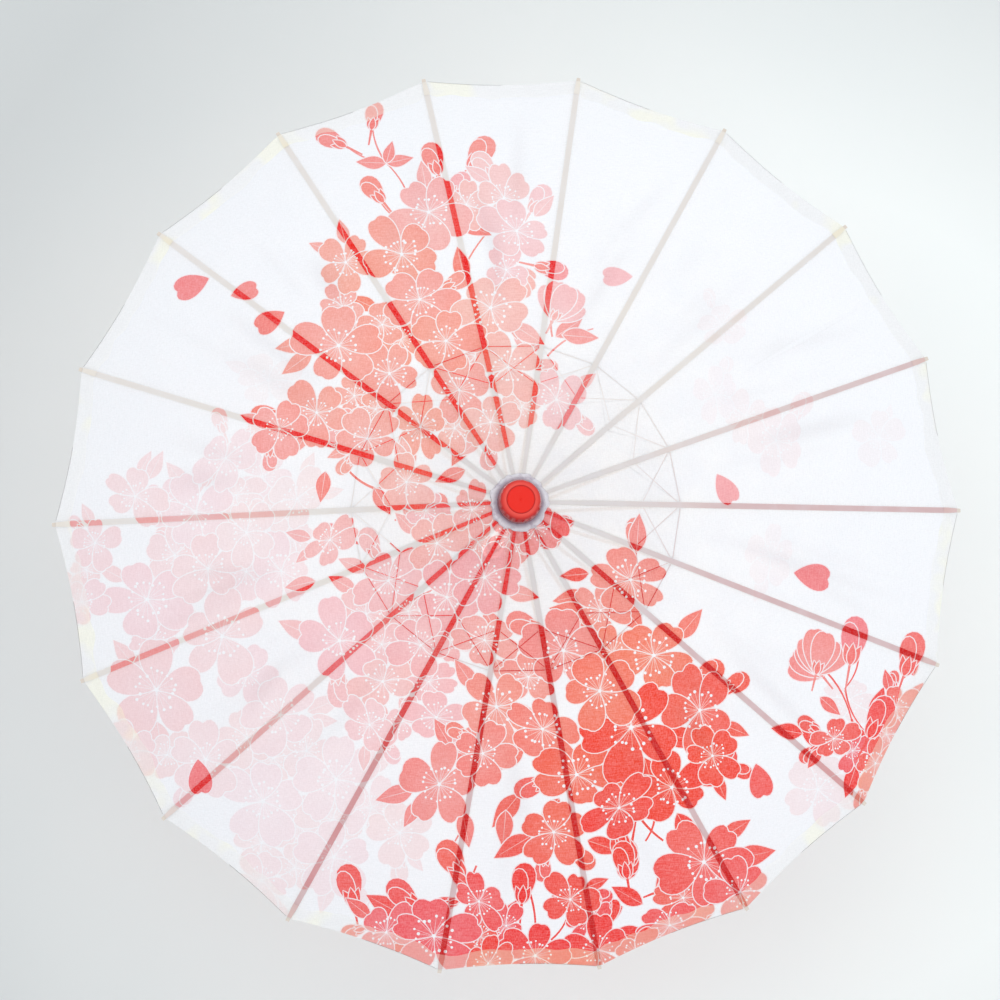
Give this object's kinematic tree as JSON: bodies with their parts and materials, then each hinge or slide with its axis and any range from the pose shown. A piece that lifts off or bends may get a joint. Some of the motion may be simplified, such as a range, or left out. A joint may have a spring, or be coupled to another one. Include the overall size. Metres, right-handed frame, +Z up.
{
  "type": "oil paper umbrella",
  "caption": "Hand parasol with a straight wooden shaft, bamboo ribs and stretchers, a sliding runner with a spring catch, and a printed cloth canopy with a red knob",
  "frame": {"origin": "centre of the handle's flat bottom end, on the shaft's axis", "axes": "+Z up along the shaft towards the knob; +X along the first rib's azimuth; the umbrella is open"},
  "size_m": [0.8234, 0.8114, 0.551],
  "materials": {
    "canopy_cloth": null,
    "collar_cloth": "crinkled cloth, matt",
    "bamboo": "split bamboo, lacquered",
    "shaft_wood": "lacquered wood",
    "handle_wood": "turned wood, satin lacquer",
    "knob_plastic": "glossy red plastic",
    "hub_plastic": "ivory plastic, satin",
    "wire": "thin steel wire",
    "brass": "pressed brass",
    "thread": "cotton thread"
  },
  "bodies": {
    "frame": {"shaft": "shaft_wood", "handle": "handle_wood", "upper_hub": "hub_plastic", "hub_tie_wire": "wire", "finial_knob": "knob_plastic", "crown_collar": "collar_cloth", "catch_spring": "wire", "catch_pin": "wire", "lattice_thread": "thread"},
    "rib_01": {"rib_01": "bamboo", "canopy_01": "canopy_cloth"},
    "rib_02": {"rib_02": "bamboo"},
    "rib_03": {"rib_03": "bamboo", "canopy_03": "canopy_cloth"},
    "rib_04": {"rib_04": "bamboo"},
    "rib_05": {"rib_05": "bamboo", "canopy_05": "canopy_cloth"},
    "rib_06": {"rib_06": "bamboo"},
    "rib_07": {"rib_07": "bamboo", "canopy_07": "canopy_cloth"},
    "rib_08": {"rib_08": "bamboo"},
    "rib_09": {"rib_09": "bamboo", "canopy_09": "canopy_cloth"},
    "rib_10": {"rib_10": "bamboo"},
    "rib_11": {"rib_11": "bamboo", "canopy_11": "canopy_cloth"},
    "rib_12": {"rib_12": "bamboo"},
    "rib_13": {"rib_13": "bamboo", "canopy_13": "canopy_cloth"},
    "rib_14": {"rib_14": "bamboo"},
    "rib_15": {"rib_15": "bamboo", "canopy_15": "canopy_cloth"},
    "rib_16": {"rib_16": "bamboo"},
    "rib_17": {"rib_17": "bamboo", "canopy_17": "canopy_cloth"},
    "rib_18": {"rib_18": "bamboo"},
    "stretcher_01": {"stretcher_01": "bamboo"},
    "stretcher_02": {"stretcher_02": "bamboo"},
    "stretcher_03": {"stretcher_03": "bamboo"},
    "stretcher_04": {"stretcher_04": "bamboo"},
    "stretcher_05": {"stretcher_05": "bamboo"},
    "stretcher_06": {"stretcher_06": "bamboo"},
    "stretcher_07": {"stretcher_07": "bamboo"},
    "stretcher_08": {"stretcher_08": "bamboo"},
    "stretcher_09": {"stretcher_09": "bamboo"},
    "stretcher_10": {"stretcher_10": "bamboo"},
    "stretcher_11": {"stretcher_11": "bamboo"},
    "stretcher_12": {"stretcher_12": "bamboo"},
    "stretcher_13": {"stretcher_13": "bamboo"},
    "stretcher_14": {"stretcher_14": "bamboo"},
    "stretcher_15": {"stretcher_15": "bamboo"},
    "stretcher_16": {"stretcher_16": "bamboo"},
    "stretcher_17": {"stretcher_17": "bamboo"},
    "stretcher_18": {"stretcher_18": "bamboo"},
    "runner": {"runner": "hub_plastic", "runner_tie_wire": "wire"},
    "catch": {"catch": "brass"}
  },
  "joints": [
    {"name": "rib_01_fold", "type": "hinge", "parent": "frame", "child": "rib_01", "pos_m": [0.014, 0, 0.52], "axis": [0, 1, 0], "range_deg": [0, 68], "deforming": ["canopy_01", "canopy_03", "canopy_05", "canopy_07", "canopy_09", "canopy_11", "canopy_13", "canopy_15", "canopy_17", "lattice_thread", "catch"]},
    {"name": "rib_02_fold", "type": "hinge", "parent": "frame", "child": "rib_02", "pos_m": [0.01316, 0.00479, 0.52], "axis": [-0.342, 0.9397, 0], "range_deg": [0, 68]},
    {"name": "rib_03_fold", "type": "hinge", "parent": "frame", "child": "rib_03", "pos_m": [0.01072, 0.009, 0.52], "axis": [-0.6428, 0.766, 0], "range_deg": [0, 68]},
    {"name": "rib_04_fold", "type": "hinge", "parent": "frame", "child": "rib_04", "pos_m": [0.007, 0.01212, 0.52], "axis": [-0.866, 0.5, 0], "range_deg": [0, 68]},
    {"name": "rib_05_fold", "type": "hinge", "parent": "frame", "child": "rib_05", "pos_m": [0.00243, 0.01379, 0.52], "axis": [-0.9848, 0.1736, 0], "range_deg": [0, 68]},
    {"name": "rib_06_fold", "type": "hinge", "parent": "frame", "child": "rib_06", "pos_m": [-0.00243, 0.01379, 0.52], "axis": [-0.9848, -0.1736, 0], "range_deg": [0, 68]},
    {"name": "rib_07_fold", "type": "hinge", "parent": "frame", "child": "rib_07", "pos_m": [-0.007, 0.01212, 0.52], "axis": [-0.866, -0.5, 0], "range_deg": [0, 68]},
    {"name": "rib_08_fold", "type": "hinge", "parent": "frame", "child": "rib_08", "pos_m": [-0.01072, 0.009, 0.52], "axis": [-0.6428, -0.766, 0], "range_deg": [0, 68]},
    {"name": "rib_09_fold", "type": "hinge", "parent": "frame", "child": "rib_09", "pos_m": [-0.01316, 0.00479, 0.52], "axis": [-0.342, -0.9397, 0], "range_deg": [0, 68]},
    {"name": "rib_10_fold", "type": "hinge", "parent": "frame", "child": "rib_10", "pos_m": [-0.014, 0, 0.52], "axis": [0, -1, 0], "range_deg": [0, 68]},
    {"name": "rib_11_fold", "type": "hinge", "parent": "frame", "child": "rib_11", "pos_m": [-0.01316, -0.00479, 0.52], "axis": [0.342, -0.9397, 0], "range_deg": [0, 68]},
    {"name": "rib_12_fold", "type": "hinge", "parent": "frame", "child": "rib_12", "pos_m": [-0.01072, -0.009, 0.52], "axis": [0.6428, -0.766, 0], "range_deg": [0, 68]},
    {"name": "rib_13_fold", "type": "hinge", "parent": "frame", "child": "rib_13", "pos_m": [-0.007, -0.01212, 0.52], "axis": [0.866, -0.5, 0], "range_deg": [0, 68]},
    {"name": "rib_14_fold", "type": "hinge", "parent": "frame", "child": "rib_14", "pos_m": [-0.00243, -0.01379, 0.52], "axis": [0.9848, -0.1736, 0], "range_deg": [0, 68]},
    {"name": "rib_15_fold", "type": "hinge", "parent": "frame", "child": "rib_15", "pos_m": [0.00243, -0.01379, 0.52], "axis": [0.9848, 0.1736, 0], "range_deg": [0, 68]},
    {"name": "rib_16_fold", "type": "hinge", "parent": "frame", "child": "rib_16", "pos_m": [0.007, -0.01212, 0.52], "axis": [0.866, 0.5, 0], "range_deg": [0, 68]},
    {"name": "rib_17_fold", "type": "hinge", "parent": "frame", "child": "rib_17", "pos_m": [0.01072, -0.009, 0.52], "axis": [0.6428, 0.766, 0], "range_deg": [0, 68]},
    {"name": "rib_18_fold", "type": "hinge", "parent": "frame", "child": "rib_18", "pos_m": [0.01316, -0.00479, 0.52], "axis": [0.342, 0.9397, 0], "range_deg": [0, 68]},
    {"name": "stretcher_01_turn", "type": "hinge", "parent": "rib_01", "child": "stretcher_01", "pos_m": [0.1418, 0, 0.47349], "axis": [0, 1, 0], "range_deg": [-136, 0]},
    {"name": "stretcher_02_turn", "type": "hinge", "parent": "rib_02", "child": "stretcher_02", "pos_m": [0.13325, 0.0485, 0.47349], "axis": [-0.342, 0.9397, 0], "range_deg": [-136, 0]},
    {"name": "stretcher_03_turn", "type": "hinge", "parent": "rib_03", "child": "stretcher_03", "pos_m": [0.10862, 0.09115, 0.47349], "axis": [-0.6428, 0.766, 0], "range_deg": [-136, 0]},
    {"name": "stretcher_04_turn", "type": "hinge", "parent": "rib_04", "child": "stretcher_04", "pos_m": [0.0709, 0.1228, 0.47349], "axis": [-0.866, 0.5, 0], "range_deg": [-136, 0]},
    {"name": "stretcher_05_turn", "type": "hinge", "parent": "rib_05", "child": "stretcher_05", "pos_m": [0.02462, 0.13964, 0.47349], "axis": [-0.9848, 0.1736, 0], "range_deg": [-136, 0]},
    {"name": "stretcher_06_turn", "type": "hinge", "parent": "rib_06", "child": "stretcher_06", "pos_m": [-0.02462, 0.13964, 0.47349], "axis": [-0.9848, -0.1736, 0], "range_deg": [-136, 0]},
    {"name": "stretcher_07_turn", "type": "hinge", "parent": "rib_07", "child": "stretcher_07", "pos_m": [-0.0709, 0.1228, 0.47349], "axis": [-0.866, -0.5, 0], "range_deg": [-136, 0]},
    {"name": "stretcher_08_turn", "type": "hinge", "parent": "rib_08", "child": "stretcher_08", "pos_m": [-0.10862, 0.09115, 0.47349], "axis": [-0.6428, -0.766, 0], "range_deg": [-136, 0]},
    {"name": "stretcher_09_turn", "type": "hinge", "parent": "rib_09", "child": "stretcher_09", "pos_m": [-0.13325, 0.0485, 0.47349], "axis": [-0.342, -0.9397, 0], "range_deg": [-136, 0]},
    {"name": "stretcher_10_turn", "type": "hinge", "parent": "rib_10", "child": "stretcher_10", "pos_m": [-0.1418, 0, 0.47349], "axis": [0, -1, 0], "range_deg": [-136, 0]},
    {"name": "stretcher_11_turn", "type": "hinge", "parent": "rib_11", "child": "stretcher_11", "pos_m": [-0.13325, -0.0485, 0.47349], "axis": [0.342, -0.9397, 0], "range_deg": [-136, 0]},
    {"name": "stretcher_12_turn", "type": "hinge", "parent": "rib_12", "child": "stretcher_12", "pos_m": [-0.10862, -0.09115, 0.47349], "axis": [0.6428, -0.766, 0], "range_deg": [-136, 0]},
    {"name": "stretcher_13_turn", "type": "hinge", "parent": "rib_13", "child": "stretcher_13", "pos_m": [-0.0709, -0.1228, 0.47349], "axis": [0.866, -0.5, 0], "range_deg": [-136, 0]},
    {"name": "stretcher_14_turn", "type": "hinge", "parent": "rib_14", "child": "stretcher_14", "pos_m": [-0.02462, -0.13964, 0.47349], "axis": [0.9848, -0.1736, 0], "range_deg": [-136, 0]},
    {"name": "stretcher_15_turn", "type": "hinge", "parent": "rib_15", "child": "stretcher_15", "pos_m": [0.02462, -0.13964, 0.47349], "axis": [0.9848, 0.1736, 0], "range_deg": [-136, 0]},
    {"name": "stretcher_16_turn", "type": "hinge", "parent": "rib_16", "child": "stretcher_16", "pos_m": [0.0709, -0.1228, 0.47349], "axis": [0.866, 0.5, 0], "range_deg": [-136, 0]},
    {"name": "stretcher_17_turn", "type": "hinge", "parent": "rib_17", "child": "stretcher_17", "pos_m": [0.10862, -0.09115, 0.47349], "axis": [0.6428, 0.766, 0], "range_deg": [-136, 0]},
    {"name": "stretcher_18_turn", "type": "hinge", "parent": "rib_18", "child": "stretcher_18", "pos_m": [0.13325, -0.0485, 0.47349], "axis": [0.342, 0.9397, 0], "range_deg": [-136, 0]},
    {"name": "runner_travel", "type": "hinge", "parent": "stretcher_01", "child": "runner", "pos_m": [0.014, 0, 0.42697], "axis": [0, 1, 0], "range_deg": [0, 68]},
    {"name": "catch_press", "type": "hinge", "parent": "frame", "child": "catch", "pos_m": [0.0015, 0, 0.36947], "axis": [0, -1, 0], "range_deg": [0, 8], "stiffness_Nm_per_rad": 0.02, "springref_deg": -11.46, "deforming": ["catch_spring"]}
  ],
  "couplings": [
    {"joint": "rib_02_fold", "follows": "rib_01_fold", "ratio": 1},
    {"joint": "rib_03_fold", "follows": "rib_01_fold", "ratio": 1},
    {"joint": "rib_04_fold", "follows": "rib_01_fold", "ratio": 1},
    {"joint": "rib_05_fold", "follows": "rib_01_fold", "ratio": 1},
    {"joint": "rib_06_fold", "follows": "rib_01_fold", "ratio": 1},
    {"joint": "rib_07_fold", "follows": "rib_01_fold", "ratio": 1},
    {"joint": "rib_08_fold", "follows": "rib_01_fold", "ratio": 1},
    {"joint": "rib_09_fold", "follows": "rib_01_fold", "ratio": 1},
    {"joint": "rib_10_fold", "follows": "rib_01_fold", "ratio": 1},
    {"joint": "rib_11_fold", "follows": "rib_01_fold", "ratio": 1},
    {"joint": "rib_12_fold", "follows": "rib_01_fold", "ratio": 1},
    {"joint": "rib_13_fold", "follows": "rib_01_fold", "ratio": 1},
    {"joint": "rib_14_fold", "follows": "rib_01_fold", "ratio": 1},
    {"joint": "rib_15_fold", "follows": "rib_01_fold", "ratio": 1},
    {"joint": "rib_16_fold", "follows": "rib_01_fold", "ratio": 1},
    {"joint": "rib_17_fold", "follows": "rib_01_fold", "ratio": 1},
    {"joint": "rib_18_fold", "follows": "rib_01_fold", "ratio": 1},
    {"joint": "stretcher_01_turn", "follows": "rib_01_fold", "ratio": -2},
    {"joint": "stretcher_02_turn", "follows": "rib_01_fold", "ratio": -2},
    {"joint": "stretcher_03_turn", "follows": "rib_01_fold", "ratio": -2},
    {"joint": "stretcher_04_turn", "follows": "rib_01_fold", "ratio": -2},
    {"joint": "stretcher_05_turn", "follows": "rib_01_fold", "ratio": -2},
    {"joint": "stretcher_06_turn", "follows": "rib_01_fold", "ratio": -2},
    {"joint": "stretcher_07_turn", "follows": "rib_01_fold", "ratio": -2},
    {"joint": "stretcher_08_turn", "follows": "rib_01_fold", "ratio": -2},
    {"joint": "stretcher_09_turn", "follows": "rib_01_fold", "ratio": -2},
    {"joint": "stretcher_10_turn", "follows": "rib_01_fold", "ratio": -2},
    {"joint": "stretcher_11_turn", "follows": "rib_01_fold", "ratio": -2},
    {"joint": "stretcher_12_turn", "follows": "rib_01_fold", "ratio": -2},
    {"joint": "stretcher_13_turn", "follows": "rib_01_fold", "ratio": -2},
    {"joint": "stretcher_14_turn", "follows": "rib_01_fold", "ratio": -2},
    {"joint": "stretcher_15_turn", "follows": "rib_01_fold", "ratio": -2},
    {"joint": "stretcher_16_turn", "follows": "rib_01_fold", "ratio": -2},
    {"joint": "stretcher_17_turn", "follows": "rib_01_fold", "ratio": -2},
    {"joint": "stretcher_18_turn", "follows": "rib_01_fold", "ratio": -2},
    {"joint": "runner_travel", "follows": "rib_01_fold", "ratio": 1}
  ]
}
